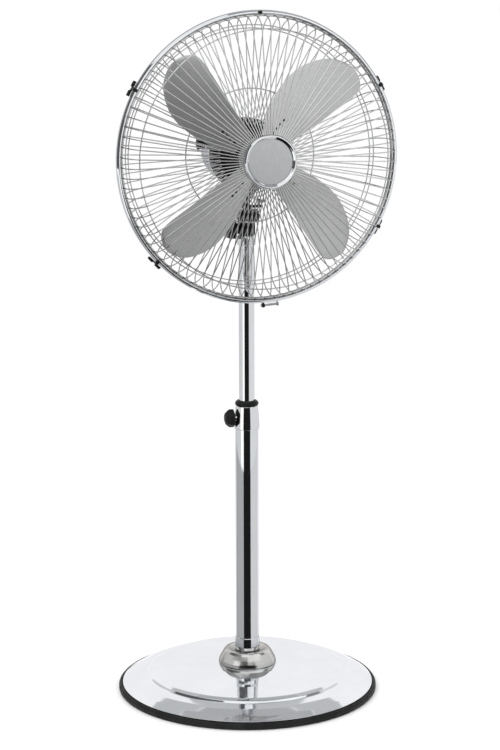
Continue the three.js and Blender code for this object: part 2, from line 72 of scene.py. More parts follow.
# ---- mesh helpers, all in millimetres and a local frame ------------------------------------
def rounded(points, steps=4):
    """A closed outline whose corners with a third value are filleted by that radius."""
    result = []
    count = len(points)
    for i, point in enumerate(points):
        here = Vector(point[:2])
        radius = point[2] if len(point) > 2 else 0
        before = Vector(points[i - 1][:2]) - here
        after = Vector(points[(i + 1) % count][:2]) - here
        turn = before.angle(after, 0)
        if radius <= 0 or turn < 0.01 or turn > math.pi - 0.01:
            result.append(tuple(here))
            continue
        reach = min(radius / math.tan(turn / 2), before.length * 0.49, after.length * 0.49)
        start = here + before.normalized() * reach
        end = here + after.normalized() * reach
        for k in range(steps + 1):
            t = k / steps
            result.append(tuple(start.lerp(here, t).lerp(here.lerp(end, t), t)))
    return result


def new_object(name, bm, matrix, smooth_angle=32):
    """Turns a bmesh in millimetres into an object, smooth where its faces meet at less than an angle."""
    for vert in bm.verts:
        vert.co = matrix @ (vert.co * MM)
    bmesh.ops.recalc_face_normals(bm, faces=bm.faces)
    limit = math.radians(smooth_angle)
    for face in bm.faces:
        face.smooth = True
    for edge in bm.edges:
        if len(edge.link_faces) == 2:
            edge.smooth = edge.calc_face_angle(0) < limit
    mesh = bpy.data.meshes.new(name)
    bm.to_mesh(mesh)
    bm.free()
    obj = bpy.data.objects.new(name, mesh)
    bpy.context.scene.collection.objects.link(obj)
    return obj


def bridge(bm, loops, closed_stack=False):
    """Quads between successive vertex loops, which close on themselves or else are capped at both ends."""
    count = len(loops[0])
    pairs = list(zip(loops, loops[1:]))
    if closed_stack:
        pairs.append((loops[-1], loops[0]))
    for lower, upper in pairs:
        for i in range(count):
            j = (i + 1) % count
            bm.faces.new((lower[i], lower[j], upper[j], upper[i]))
    if not closed_stack:
        bm.faces.new(loops[0])
        bm.faces.new(loops[-1])


def loops_round(bm, profile, segments, matrix):
    """A loop of vertices about Z for each (radius, z) of a profile."""
    loops = []
    for radius, z in profile:
        loops.append([bm.verts.new(matrix @ Vector((x, y, z))) for x, y in circle(radius, segments)])
    return loops


def turn_into(bm, profile, segments=96, matrix=WORLD):
    """Adds a ring-shaped body of revolution about Z. The profile is closed and off the axis."""
    bridge(bm, loops_round(bm, profile, segments, matrix), closed_stack=True)


def solid_turn_into(bm, profile, segments=64, matrix=WORLD):
    """Adds a solid body of revolution: the profile runs from one end to the other, off the axis."""
    bridge(bm, loops_round(bm, profile, segments, matrix))


def stack_into(bm, outline, levels, matrix):
    """Adds a lofted solid: one outline, scaled and lifted by each (scale, z) level."""
    loops = []
    for scale, z in levels:
        loops.append([bm.verts.new(matrix @ Vector((x * scale, y * scale, z))) for x, y in outline])
    bridge(bm, loops)


def plate_into(bm, outline, low, high, edge, matrix=WORLD):
    """Adds a flat plate with softened edges from an outline in XY."""
    piece = bmesh.new()
    lower = [piece.verts.new((x, y, low)) for x, y in outline]
    upper = [piece.verts.new((x, y, high)) for x, y in outline]
    bridge(piece, [lower, upper])
    bmesh.ops.recalc_face_normals(piece, faces=piece.faces)
    if edge:
        sharp = [e for e in piece.edges if e.calc_face_angle(0) > math.radians(30)]
        bmesh.ops.bevel(piece, geom=sharp, offset=edge, segments=3, profile=0.5, affect="EDGES",
                        clamp_overlap=True)
    bmesh.ops.transform(piece, matrix=matrix, verts=piece.verts)
    spare = bpy.data.meshes.new("spare")
    piece.to_mesh(spare)
    piece.free()
    bm.from_mesh(spare)
    bpy.data.meshes.remove(spare)


def block_into(bm, low, high, edge, matrix=WORLD):
    """Adds a box with softened edges between two corners."""
    outline = [(low[0], low[1]), (high[0], low[1]), (high[0], high[1]), (low[0], high[1])]
    plate_into(bm, outline, low[2], high[2], edge, matrix)


def circle(radius, count):
    return [(radius * math.cos(TAU * k / count), radius * math.sin(TAU * k / count)) for k in range(count)]


def hexagon(across_corners):
    return circle(across_corners / 2, 6)


def half_circle(radius, start, steps=24):
    """Points along half a circle about the origin, anticlockwise from a starting angle."""
    angles = [start + math.pi * k / steps for k in range(steps + 1)]
    return [(radius * math.cos(angle), radius * math.sin(angle)) for angle in angles]


def lobed(radius, depth, lobes, per_lobe):
    """A round outline with shallow dips, as on a fluted knob."""
    count = lobes * per_lobe
    outline = []
    for k in range(count):
        angle = TAU * k / count
        reach = radius - depth * (0.5 - 0.5 * math.cos(angle * lobes))
        outline.append((reach * math.cos(angle), reach * math.sin(angle)))
    return outline


def wires(name, paths, radius, matrix):
    """Round wires along smooth paths, as one curve object."""
    curve = bpy.data.curves.new(name, "CURVE")
    curve.dimensions = "3D"
    curve.bevel_depth = radius * MM
    curve.bevel_resolution = 3
    curve.use_fill_caps = True
    for path in paths:
        spline = curve.splines.new("POLY")
        spline.points.add(len(path) - 1)
        spline.use_smooth = True
        for point, target in zip(path, spline.points):
            target.co = (*(matrix @ (Vector(point) * MM)), 1)
    obj = bpy.data.objects.new(name, curve)
    bpy.context.scene.collection.objects.link(obj)
    return obj


def finish_piece(obj, body, material, slot, *nodes):
    """Gives a piece its material and its moving body, and hides the CAD nodes that it stands for. The slot is
    not used.
    """
    obj.data.materials.append(material)
    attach(obj, body)
    if nodes:
        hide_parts(*nodes)


def finish_mesh(name, bm, matrix, body, material, slot, *nodes, smooth_angle=32):
    finish_piece(new_object(name, bm, matrix, smooth_angle), body, material, slot, *nodes)


def turned(name, profile, body, material, slot, *nodes, matrix=WORLD, segments=96):
    """A whole piece that is one ring-shaped body of revolution about Z."""
    bm = bmesh.new()
    turn_into(bm, rounded(profile), segments)
    finish_mesh(name, bm, matrix, body, material, slot, *nodes)


# ---- camera and studio ----------------------------------------------------------------------
CAMERA_AZIMUTH = math.radians(-17)
CAMERA_DISTANCE = 3.2
CAMERA_HEIGHT = 1.13
CAMERA_PITCH = math.radians(11.25)
CAMERA_LENS = 103.2
CAMERA_SENSOR = 36
CAMERA_ROLL = math.radians(-0.12)
AIM_RIGHT = math.radians(0.09)  # the pole stands a little left of the middle
STUDIO_TINT = (0.985, 0.995, 1.0)
FLOOR_SIZE = 30
FLOOR_TOP = -0.0005
KEY_BEARING = math.radians(-35)
KEY_DISTANCE = 2.2
KEY_HEIGHT = 2.6
KEY_SIZE = 2.2
KEY_ENERGY = 26
KEY_AIM_HEIGHT = 0.6
CARD_STEPS = 12


def direction(bearing):
    """Unit vector on the floor at a bearing to the right of the camera, seen from the pole."""
    angle = CAMERA_AZIMUTH + bearing
    return Vector((math.sin(angle), -math.cos(angle), 0))


def make_camera():
    data = bpy.data.cameras.new("camera")
    data.lens = CAMERA_LENS
    data.sensor_width = CAMERA_SENSOR
    data.clip_end = 50
    camera = bpy.data.objects.new("camera", data)
    place = Matrix.Translation(direction(0) * CAMERA_DISTANCE + Vector((0, 0, CAMERA_HEIGHT)))
    heading = Matrix.Rotation(CAMERA_AZIMUTH - AIM_RIGHT, 4, "Z")
    pitch = Matrix.Rotation(math.pi / 2 - CAMERA_PITCH, 4, "X")
    camera.matrix_world = place @ heading @ pitch @ Matrix.Rotation(CAMERA_ROLL, 4, "Z")
    bpy.context.scene.collection.objects.link(camera)
    bpy.context.scene.camera = camera


def emission(name, brightness):
    """A plain shining surface."""
    mat = bpy.data.materials.new(name)
    mat.use_nodes = True
    nodes = mat.node_tree.nodes
    nodes.clear()
    shader = nodes.new("ShaderNodeEmission")
    shader.inputs["Color"].default_value = (*[brightness * tint for tint in STUDIO_TINT], 1)
    output = nodes.new("ShaderNodeOutputMaterial")
    mat.node_tree.links.new(shader.outputs[0], output.inputs["Surface"])
    return mat


def reflector(name, start, end, brightness, outline):
    """A card seen only in reflections: an outline of (radius, height) swept from one bearing to another."""
    bm = bmesh.new()
    rows = []
    for k in range(CARD_STEPS + 1):
        out = direction(math.radians(start + (end - start) * k / CARD_STEPS))
        rows.append([bm.verts.new(out * radius + Vector((0, 0, height))) for radius, height in outline])
    for a, b in zip(rows, rows[1:]):
        for i in range(len(a) - 1):
            bm.faces.new((a[i], b[i], b[i + 1], a[i + 1]))
    mesh = bpy.data.meshes.new(name)
    bm.to_mesh(mesh)
    bm.free()
    card = bpy.data.objects.new(name, mesh)
    bpy.context.scene.collection.objects.link(card)
    card.data.materials.append(emission(name, brightness))
    card.visible_camera = False
    card.visible_diffuse = False
    card.visible_shadow = False
    card.visible_transmission = False


# Outlines of the cards round the fan, then each card's two bearings and its brightness.
FOOT = ((1, 0.22), (1, 0.002), (0.24, 0.002))
LOW = ((1, 0.66), (1, 0.22))
HIGH = ((1.3, 2.2), (1.3, 0.66))
LEVEL = ((1.28, 1.1), (1.28, 0.62))
BACK = ((1.32, 2.2), (1.32, 1.25))
LID = ((1.3, 2.2), (0.02, 2.2))
CARDS = {
    FOOT: ((-34, 36, 0.012), (-56, -34, 0.42), (-130, -56, 0.42), (36, 120, 0.68)),
    LOW: ((-32, 34, 0.012), (-60, -32, 1.2), (-130, -60, 0.68), (34, 120, 0.76)),
    HIGH: ((-35, 45, 1.0), (-110, -35, 0.1), (45, 80, 1.1), (80, 105, 0.25)),
    LEVEL: ((-36, 2, 0.1),),
    BACK: ((95, 265, 0.56),),
    LID: ((-105, 20, 0.9), (20, 95, 0.34), (95, 255, 0.46)),
}


def make_sky():
    world = bpy.data.worlds.new("world")
    world.use_nodes = True
    background = world.node_tree.nodes["Background"]
    background.inputs["Color"].default_value = (1, 1, 1, 1)
    background.inputs["Strength"].default_value = 1.0
    bpy.context.scene.world = world
    bpy.context.scene.view_settings.view_transform = "Standard"


def make_floor():
    bm = bmesh.new()
    bmesh.ops.create_grid(bm, x_segments=1, y_segments=1, size=FLOOR_SIZE)
    mesh = bpy.data.meshes.new("floor")
    bm.to_mesh(mesh)
    bm.free()
    floor = bpy.data.objects.new("floor", mesh)
    floor.location.z = FLOOR_TOP
    bpy.context.scene.collection.objects.link(floor)
    pale, shader, _ = new_material("pale_floor", (0.93, 0.93, 0.935), 0, 0.6)
    shader.inputs["Emission Color"].default_value = (1, 1, 1, 1)
    shader.inputs["Emission Strength"].default_value = 0.08
    floor.data.materials.append(pale)


def make_key_light():
    light = bpy.data.lights.new("key", "AREA")
    light.size = KEY_SIZE
    light.energy = KEY_ENERGY
    key = bpy.data.objects.new("key", light)
    key.location = direction(KEY_BEARING) * KEY_DISTANCE + Vector((0, 0, KEY_HEIGHT))
    sight = Vector((0, 0, KEY_AIM_HEIGHT)) - key.location
    key.rotation_euler = sight.to_track_quat("-Z", "Y").to_euler()
    bpy.context.scene.collection.objects.link(key)


def make_studio():
    make_sky()
    make_floor()
    for outline, cards in CARDS.items():
        for start, end, brightness in cards:
            reflector("card", start, end, brightness, outline)
    make_key_light()


# ---- materials ------------------------------------------------------------------------------
EVEN = (1, 1, 1)


def new_material(name, color, metallic, roughness):
    """A material with its shader and its node tree."""
    mat = bpy.data.materials.new(name)
    mat.use_nodes = True
    shader = mat.node_tree.nodes["Principled BSDF"]
    shader.inputs["Base Color"].default_value = (*color, 1)
    shader.inputs["Metallic"].default_value = metallic
    shader.inputs["Roughness"].default_value = roughness
    return mat, shader, mat.node_tree


def object_noise(tree, scale, detail, stretch):
    """Noise fixed to the object, in metres."""
    coordinates = tree.nodes.new("ShaderNodeTexCoord")
    mapping = tree.nodes.new("ShaderNodeMapping")
    mapping.inputs["Scale"].default_value = stretch
    noise = tree.nodes.new("ShaderNodeTexNoise")
    noise.inputs["Scale"].default_value = scale
    noise.inputs["Detail"].default_value = detail
    tree.links.new(coordinates.outputs["Object"], mapping.inputs["Vector"])
    tree.links.new(mapping.outputs["Vector"], noise.inputs["Vector"])
    return noise.outputs["Fac"]


def ranged(tree, value, low, high):
    """Spreads the middle of a noise over a range."""
    node = tree.nodes.new("ShaderNodeMapRange")
    node.inputs["From Min"].default_value = 0.3
    node.inputs["From Max"].default_value = 0.7
    node.inputs["To Min"].default_value = low
    node.inputs["To Max"].default_value = high
    tree.links.new(value, node.inputs["Value"])
    return node.outputs["Result"]


def vary_roughness(tree, shader, scale, low, high, stretch=EVEN):
    noise = object_noise(tree, scale, 4, stretch)
    tree.links.new(ranged(tree, noise, low, high), shader.inputs["Roughness"])


def vary_color(tree, shader, scale, dark, light, stretch=EVEN):
    ramp = tree.nodes.new("ShaderNodeValToRGB")
    ramp.color_ramp.elements[0].position = 0.35
    ramp.color_ramp.elements[0].color = (*dark, 1)
    ramp.color_ramp.elements[1].position = 0.65
    ramp.color_ramp.elements[1].color = (*light, 1)
    tree.links.new(object_noise(tree, scale, 4, stretch), ramp.inputs["Fac"])
    tree.links.new(ramp.outputs["Color"], shader.inputs["Base Color"])


def add_bump(tree, shader, scale, strength, distance, stretch=EVEN):
    bump = tree.nodes.new("ShaderNodeBump")
    bump.inputs["Strength"].default_value = strength
    bump.inputs["Distance"].default_value = distance
    tree.links.new(object_noise(tree, scale, 3, stretch), bump.inputs["Height"])
    tree.links.new(bump.outputs["Normal"], shader.inputs["Normal"])


def plated(name, dark, light, low, high, edge):
    """Bright plating: faint tone and gloss variation, slight waviness and darker grazing reflections."""
    mat, shader, tree = new_material(name, light, 1, low)
    shader.inputs["Specular Tint"].default_value = (*edge, 1)
    vary_color(tree, shader, 18, dark, light)
    vary_roughness(tree, shader, 60, low, high)
    add_bump(tree, shader, 35, 0.05, 0.0006)
    return mat


def satin(name, dark, light, low, high, stretch):
    """Fine-brushed sheet metal, its grain stretched along one direction."""
    mat, shader, tree = new_material(name, light, 1, low)
    vary_color(tree, shader, 90, dark, light, stretch)
    vary_roughness(tree, shader, 240, low, high, stretch)
    add_bump(tree, shader, 500, 0.12, 0.0002, stretch)
    return mat


def moulded(name, dark, light, low, high, grain=900, gloss=0.5):
    """Moulded plastic or rubber with a fine grain."""
    mat, shader, tree = new_material(name, light, 0, low)
    shader.inputs["Specular IOR Level"].default_value = gloss
    vary_color(tree, shader, 40, dark, light)
    vary_roughness(tree, shader, 120, low, high)
    add_bump(tree, shader, grain, 0.1, 0.0002)
    return mat


def rough_metal(name, dark, light, low, high, scale=160):
    """Bare metal with an uneven surface."""
    mat, shader, tree = new_material(name, light, 1, low)
    vary_color(tree, shader, scale, dark, light)
    vary_roughness(tree, shader, scale * 2, low, high)
    add_bump(tree, shader, scale * 3, 0.2, 0.0003)
    return mat


def winding():
    """Lacquered copper wire: fine ridges round the stator."""
    mat, shader, tree = new_material("copper", (0.5, 0.24, 0.12), 1, 0.35)
    wave = tree.nodes.new("ShaderNodeTexWave")
    wave.bands_direction = "Y"
    wave.inputs["Scale"].default_value = 350
    wave.inputs["Distortion"].default_value = 1.5
    coordinates = tree.nodes.new("ShaderNodeTexCoord")
    tree.links.new(coordinates.outputs["Object"], wave.inputs["Vector"])
    bump = tree.nodes.new("ShaderNodeBump")
    bump.inputs["Strength"].default_value = 0.5
    bump.inputs["Distance"].default_value = 0.0005
    tree.links.new(wave.outputs["Fac"], bump.inputs["Height"])
    tree.links.new(bump.outputs["Normal"], shader.inputs["Normal"])
    vary_color(tree, shader, 120, (0.4, 0.17, 0.08), (0.6, 0.3, 0.15))
    return mat


chrome = plated("chrome", (0.85, 0.865, 0.885), (0.9, 0.91, 0.93), 0.035, 0.07, (0.42, 0.43, 0.46))
base_chrome = plated("base_chrome", (0.83, 0.845, 0.87), (0.87, 0.885, 0.91), 0.05, 0.1,
                     (0.93, 0.93, 0.94))
wire_chrome = plated("wire_chrome", (0.66, 0.66, 0.66), (0.76, 0.76, 0.75), 0.06, 0.12, (0.3, 0.3, 0.3))
nickel = plated("nickel", (0.66, 0.65, 0.63), (0.76, 0.75, 0.73), 0.14, 0.22, (0.3, 0.3, 0.3))
blade_metal = satin("satin_aluminium", (0.6, 0.6, 0.6), (0.64, 0.64, 0.64), 0.5, 0.56, (1, 1, 6))
badge_metal = satin("satin_badge", (0.55, 0.56, 0.57), (0.59, 0.6, 0.61), 0.4, 0.46, (4, 1, 1))
steel = rough_metal("steel", (0.38, 0.39, 0.41), (0.52, 0.53, 0.55), 0.22, 0.38)
brass = rough_metal("brass", (0.5, 0.38, 0.17), (0.66, 0.52, 0.26), 0.22, 0.36)
copper = winding()
cast_iron = rough_metal("cast_iron", (0.06, 0.06, 0.062), (0.13, 0.13, 0.13), 0.6, 0.85, 260)
black_plastic = moulded("black_plastic", (0.004, 0.004, 0.004), (0.008, 0.008, 0.008), 0.42, 0.56,
                        gloss=0.22)
rubber = moulded("rubber", (0.006, 0.006, 0.006), (0.011, 0.011, 0.011), 0.5, 0.7, 600, gloss=0.25)
nylon = moulded("nylon", (0.62, 0.6, 0.54), (0.72, 0.7, 0.64), 0.45, 0.6)

BY_SLOT = {
    "chrome": chrome, "nickel": nickel, "satin_aluminium": blade_metal, "satin_badge": badge_metal,
    "steel": steel, "brass": brass, "copper": copper, "cast_iron": cast_iron,
    "black_plastic": black_plastic, "rubber": rubber, "nylon": nylon,
}


def finish_cad_nodes():
    """CAD pieces that stay, mostly inner ones, take their slot's material."""
    for part in frame["record"]["subparts"]:
        node = frame["nodes"][part["node"]]
        node.data.materials.clear()
        node.data.materials.append(BY_SLOT[part["material_slot"]])


# ---- base and pole --------------------------------------------------------------------------
POLE_R = 17.5
INNER_POLE_R = 11.75
RING_BORE = 12.4


def make_base():
    turned("base_cover_visual", [
        (18.5, 40.2), (60, 38.9, 40), (110, 35.4, 60), (148, 31.3, 8), (153.5, 28.4, 3), (156, 25.2, 3),
        (170, 22.4, 20), (184, 16.8, 20), (191.5, 12.2, 3), (194.4, 10.6, 0.4), (192.4, 10.3),
        (183, 15, 10), (169.5, 21, 10), (155, 23.8, 2), (152, 27, 2), (110, 33.5, 30), (60, 37, 30),
        (18.5, 38.6),
    ], "base", base_chrome, "chrome", "base_cover", segments=192)
    turned("base_rubber_visual", [
        (186, 0.1), (198.6, 0.1, 1.2), (200, 1.8, 1.2), (200, 6.6, 1.8), (197.6, 9.6, 1.5),
        (194.9, 9.9, 0.8), (194.6, 8.6, 0.6), (186, 8.4),
    ], "base", rubber, "rubber", "base_rubber_ring", segments=192)


def make_pole_foot():
    """The bright bell on the base and the short sleeve above it."""
    turned("bell_visual", [
        (43.4, 39.7, 0.4), (44.4, 40.9, 1), (43.4, 45.5, 6), (40.4, 51.5, 10), (36.8, 58, 6),
        (34.2, 61.4, 2.4), (29, 62, 2.5), (25, 60.7, 3), (18.2, 59.9, 0.4), (17.9, 58.6), (27, 59.2),
        (32.5, 59.6), (38.8, 50, 4), (41.6, 42), (41.8, 39.8),
    ], "base", nickel, "nickel", "base_escutcheon", segments=128)
    turned("foot_sleeve_visual", [
        (17.8, 60.1), (18.3, 60.9, 0.6), (18.9, 64.2, 1.2), (18.8, 74, 4), (18.3, 79.6, 0.6), (17.8, 80.4),
    ], "base", chrome, "chrome", "pole_foot_sleeve")


def make_lower_pole():
    bore = POLE_R - 1.5
    turned("outer_pole_visual", [(bore, 42.2), (POLE_R, 42.2), (POLE_R, 417.4, 0.4), (bore, 417.4, 0.4)],
           "base", chrome, "chrome", "outer_pole", segments=128)


def make_collar():
    """The tapered collar at the lower pole's top, with the clamp's boss on its side, and its black ring."""
    bm = bmesh.new()
    turn_into(bm, rounded([
        (17.8, 411.2), (19, 411.2, 0.4), (19.3, 412.2, 0.5), (18.6, 424, 12), (17.8, 436, 12),
        (16.95, 446.2, 0.4), (16.4, 446.9, 0.3), (RING_BORE, 446.9, 0.4), (RING_BORE, 418.6), (17.8, 418.6),
    ]))
    boss = rounded([(3.4, 14.2), (5.5, 14.2), (5.5, 20.1, 0.5), (3.4, 20.1, 0.4)])
    turn_into(bm, boss, 40, CLAMP_AXIS)
    finish_mesh("collar_sleeve_visual", bm, WORLD, "base", chrome, "chrome", "collar_sleeve")
    turned("collar_ring_visual", [
        (RING_BORE, 447.4), (17, 447.4, 0.5), (18, 449.4, 1), (17.8, 451.8, 1), (15, 454.6, 1.2),
        (RING_BORE, 455, 0.5),
    ], "base", black_plastic, "black_plastic", "collar_ring")


def make_height_clamp():
    bm = bmesh.new()
    stack_into(bm, lobed(14, 1.5, 6, 14), [
        (0.94, 21.3), (0.985, 21.7), (1, 22.6), (1, 27.4), (0.975, 28.6), (0.92, 29.3), (0.8, 31.6),
        (0.68, 33.3), (0.5, 34.5), (0.3, 35.05), (0.05, 35.2),
    ], CLAMP_AXIS)
    finish_mesh("clamp_knob_visual", bm, WORLD, "height_clamp", black_plastic, "black_plastic",
                "clamp_knob", smooth_angle=40)
    bm = bmesh.new()
    solid_turn_into(bm, [(0.4, 12.4), (2.7, 12.5), (3, 12.9), (3, 22.5), (0.4, 22.5)], 32, CLAMP_AXIS)
    finish_mesh("clamp_screw_visual", bm, WORLD, "height_clamp", steel, "steel", "clamp_screw")


def make_upper_pole():
    bore = INNER_POLE_R - 1.5
    turned("inner_pole_visual", [
        (bore, 255.2), (INNER_POLE_R, 255.2), (INNER_POLE_R, 705.8), (bore, 705.8),
    ], "riser", chrome, "chrome", "inner_pole", segments=128)
    turned("top_collar_visual", [
        (12.05, 692.1), (13, 692.1, 0.4), (14, 693.6, 0.8), (14, 702.6, 1.2), (13.2, 706.6, 1),
        (12.05, 707.5),
    ], "riser", chrome, "chrome", "pole_top_collar")
    turned("bush_visual", [(10, 240.1), (15.5, 240.1, 0.5), (15.5, 254.5, 0.5), (10, 254.5)],
           "riser", nylon, "nylon", "inner_pole_bush", segments=64)


# ---- neck and its controls --------------------------------------------------------------------
def make_yoke():
    """A stem in the pole's top, a square foot and two rounded ears for the tilt bolt."""
    bm = bmesh.new()
    solid_turn_into(bm, [
        (0.4, 684.2), (9.5, 684.2), (9.9, 684.8), (9.9, 708.2), (10.9, 708.3), (10.9, 714),
    ])
    foot = rounded([(-11.2, -10.8, 3), (11.2, -10.8, 3), (11.2, 12, 4), (-11.2, 12, 4)], 6)
    plate_into(bm, foot, 708.3, 726, 1.4)
    ear = half_circle(9.6, math.pi / 2) + [(15, -9.6), (15, 9.6)]
    for low, high in ((-11.2, -5), (5, 11.2)):
        plate_into(bm, ear, low, high, 0.9, TILT_AXIS)
    finish_mesh("neck_yoke_visual", bm, WORLD, "riser", black_plastic, "black_plastic", "neck_yoke")


def make_tilt_bolt():
    bm = bmesh.new()
    solid_turn_into(bm, [(0.4, -12), (3, -12), (3, 16.8), (2.4, 17.4), (0.4, 17.4)], 32, TILT_AXIS)
    plate_into(bm, hexagon(12), -15.4, -11.6, 0.5, TILT_AXIS)
    finish_mesh("tilt_bolt_visual", bm, WORLD, "riser", steel, "steel", "tilt_bolt")


def make_switch_housing():
    """The switch's box, the web that joins it to the neck and two small ribs on its back."""
    bm = bmesh.new()
    case = rounded([(-26, 1, 3), (-14.4, 1, 2), (-14.4, 30, 2), (-26, 30, 3)], 5)
    plate_into(bm, case, 702.1, 729.9, 1.3)
    block_into(bm, (-16, 1.6, 709.2), (-11.6, 12.8, 724.8), 0.8)
    for low in (703.4, 726.6):
        block_into(bm, (-24.2, 29.4, low), (-16.4, 30, low + 1.6), 0.2)
    finish_mesh("switch_housing_visual", bm, WORLD, "riser", black_plastic, "black_plastic",
                "switch_housing")


def make_gland():
    bm = bmesh.new()
    foot = middle("cable_gland") / MM
    foot.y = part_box("cable_gland")[0].y / MM
    back = Matrix.Translation(foot) @ Matrix.Rotation(math.radians(-90), 4, "X")
    solid_turn_into(bm, [
        (2.6, 3), (2.6, 9.6), (3.4, 9.7), (3.7, 8), (4.6, 3.2), (5, 2.6), (5, 0.1), (0.5, 0.1),
    ], 40, back)
    finish_mesh("cable_gland_visual", bm, WORLD, "riser", rubber, "rubber", "cable_gland")


def make_tilt_lock():
    """A fluted knob: a turned core with eight grips round it."""
    grips = 8
    bm = bmesh.new()
    core = rounded([(3.5, 11.6), (8.7, 11.6, 0.8), (8.9, 13, 0.4), (7.6, 17.8, 1), (3.5, 18.2, 0.5)])
    turn_into(bm, core, 48, TILT_AXIS)
    for k in range(grips):
        spin = Matrix.Rotation(TAU * k / grips, 4, "Z")
        block_into(bm, (6.4, -1.6, 12), (9.25, 1.6, 17.9), 0.7, TILT_AXIS @ spin)
    finish_mesh("tilt_lock_knob_visual", bm, WORLD, "tilt_lock", black_plastic, "black_plastic",
                "tilt_lock_knob")


def side_seat(node, base_x):
    """Where the foot of a side knob stands, in millimetres, its local +Z pointing to -X."""
    low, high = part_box(node)
    base = Matrix.Translation((base_x, (low.y + high.y) / 2 / MM, (low.z + high.z) / 2 / MM))
    return base @ Matrix.Rotation(math.radians(-90), 4, "Y")


def make_speed_knob():
    """A knurled knob with a pointer on its face and a stub of the switch's shaft."""
    seat = side_seat("speed_knob", -26.5)
    bm = bmesh.new()
    stack_into(bm, lobed(10, 0.8, 12, 8),
               [(0.96, 0.1), (1, 0.6), (0.99, 4.9), (0.95, 6.3), (0.87, 6.8), (0.02, 6.8)], seat)
    block_into(bm, (1.5, -0.7, 6.3), (7.9, 0.7, 7.1), 0.2, seat)
    solid_turn_into(bm, [(0.5, -5), (2.7, -5), (2.7, 0.4), (0.5, 0.4)], 24, seat)
    finish_mesh("speed_knob_visual", bm, WORLD, "speed_control", black_plastic, "black_plastic",
                "speed_knob", smooth_angle=40)


def make_oscillation_knob():
    """A waisted push-pull knob on its rod."""
    seat = side_seat("oscillation_knob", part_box("oscillation_knob")[0].x / MM + 11)
    bm = bmesh.new()
    stack_into(bm, lobed(8.9, 0.5, 10, 8), [
        (0.9, 0.1), (0.97, 0.7), (0.9, 2.4), (0.86, 5), (0.97, 8.4), (1, 9.4), (0.97, 10.3), (0.88, 10.9),
        (0.02, 10.9),
    ], seat)
    solid_turn_into(bm, [(0.5, -9.4), (2.9, -9.4), (2.9, 0.4), (0.5, 0.4)], 24, seat)
    finish_mesh("oscillation_knob_visual", bm, WORLD, "oscillation_switch", black_plastic,
                "black_plastic", "oscillation_knob", smooth_angle=40)


# ---- motor, in the head frame: +Z forward, +Y up, the rim plane at Z = 0 ---------------------------
LUG_DEPTH = (trim_middle.y - middle("swivel_pin").y) / MM
BOTTOM = TAU * 0.75
SLOT_CORNER = 1.4


def cut_slots(shell, radius, count, width, length, depth, solid_arc):
    """Cuts a ring of rounded slots through a head piece's wall, leaving it whole about its bottom."""
    half_length = length / 2
    half_width = width / 2
    outline = rounded([
        (-half_length, -half_width, SLOT_CORNER), (half_length, -half_width, SLOT_CORNER),
        (half_length, half_width, SLOT_CORNER), (-half_length, half_width, SLOT_CORNER),
    ])
    cutter = bmesh.new()
    for k in range(count):
        angle = TAU * (k + 0.5) / count
        if abs(angle - BOTTOM) < solid_arc:
            continue
        place = Matrix.Rotation(angle, 4, "Z") @ Matrix.Translation((radius, 0, depth))
        plate_into(cutter, outline, -9, 9, 0, place @ Matrix.Rotation(math.radians(90), 4, "Y"))
    tool = new_object("slot_tool", cutter, HEAD)
    cut = shell.modifiers.new("slots", "BOOLEAN")
    cut.operation = "DIFFERENCE"
    cut.object = tool
    cut.solver = "EXACT"
    bpy.context.view_layer.update()
    graph = bpy.context.evaluated_depsgraph_get()
    mesh = bpy.data.meshes.new_from_object(shell.evaluated_get(graph))
    shell.modifiers.clear()
    shell.data = mesh
    bpy.data.objects.remove(tool)


def make_motor_cover():
    """The front cover with its vents, and below it the lug that turns on the swivel pin."""
    bm = bmesh.new()
    turn_into(bm, rounded([
        (46, -76), (52.6, -76, 0.8), (54.8, -73, 1.5), (54.8, -57, 4), (52.6, -52.4, 2.5),
        (48.6, -50.2, 2), (40, -50.1, 1), (38.5, -51.6, 1), (27.5, -51.6, 1), (25.8, -50.1, 0.6),
        (24, -50.1, 0.8), (24, -40.3, 0.8), (12.6, -40.3, 0.5), (12.6, -56), (46, -56),
    ]), 128)
    cover = new_object("motor_front_cover_visual", bm, HEAD)
    cut_slots(cover, 53, 28, 5, 9, -65.5, 0.32)
    bm = bmesh.new()
    foot = (trim_middle.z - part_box("motor_front_cover")[0].z) / MM
    down = Matrix.Translation((0, 0, LUG_DEPTH)) @ Matrix.Rotation(math.radians(90), 4, "X")
    lug = rounded([(3.9, 50.5), (9.9, 50.5), (9.9, foot - 0.2, 1), (3.9, foot - 0.1, 0.4)])
    turn_into(bm, lug, 48, down)
    for side in (-1, 1):
        web = [(side * 8, -51), (side * 22, -49), (side * 9.2, -60)]
        plate_into(bm, web[::side], -70.5, -59.5, 0.5)
    lug_piece = new_object("motor_lug_visual", bm, HEAD)
    for piece in (cover, lug_piece):
        finish_piece(piece, "head", black_plastic, "black_plastic", "motor_front_cover")


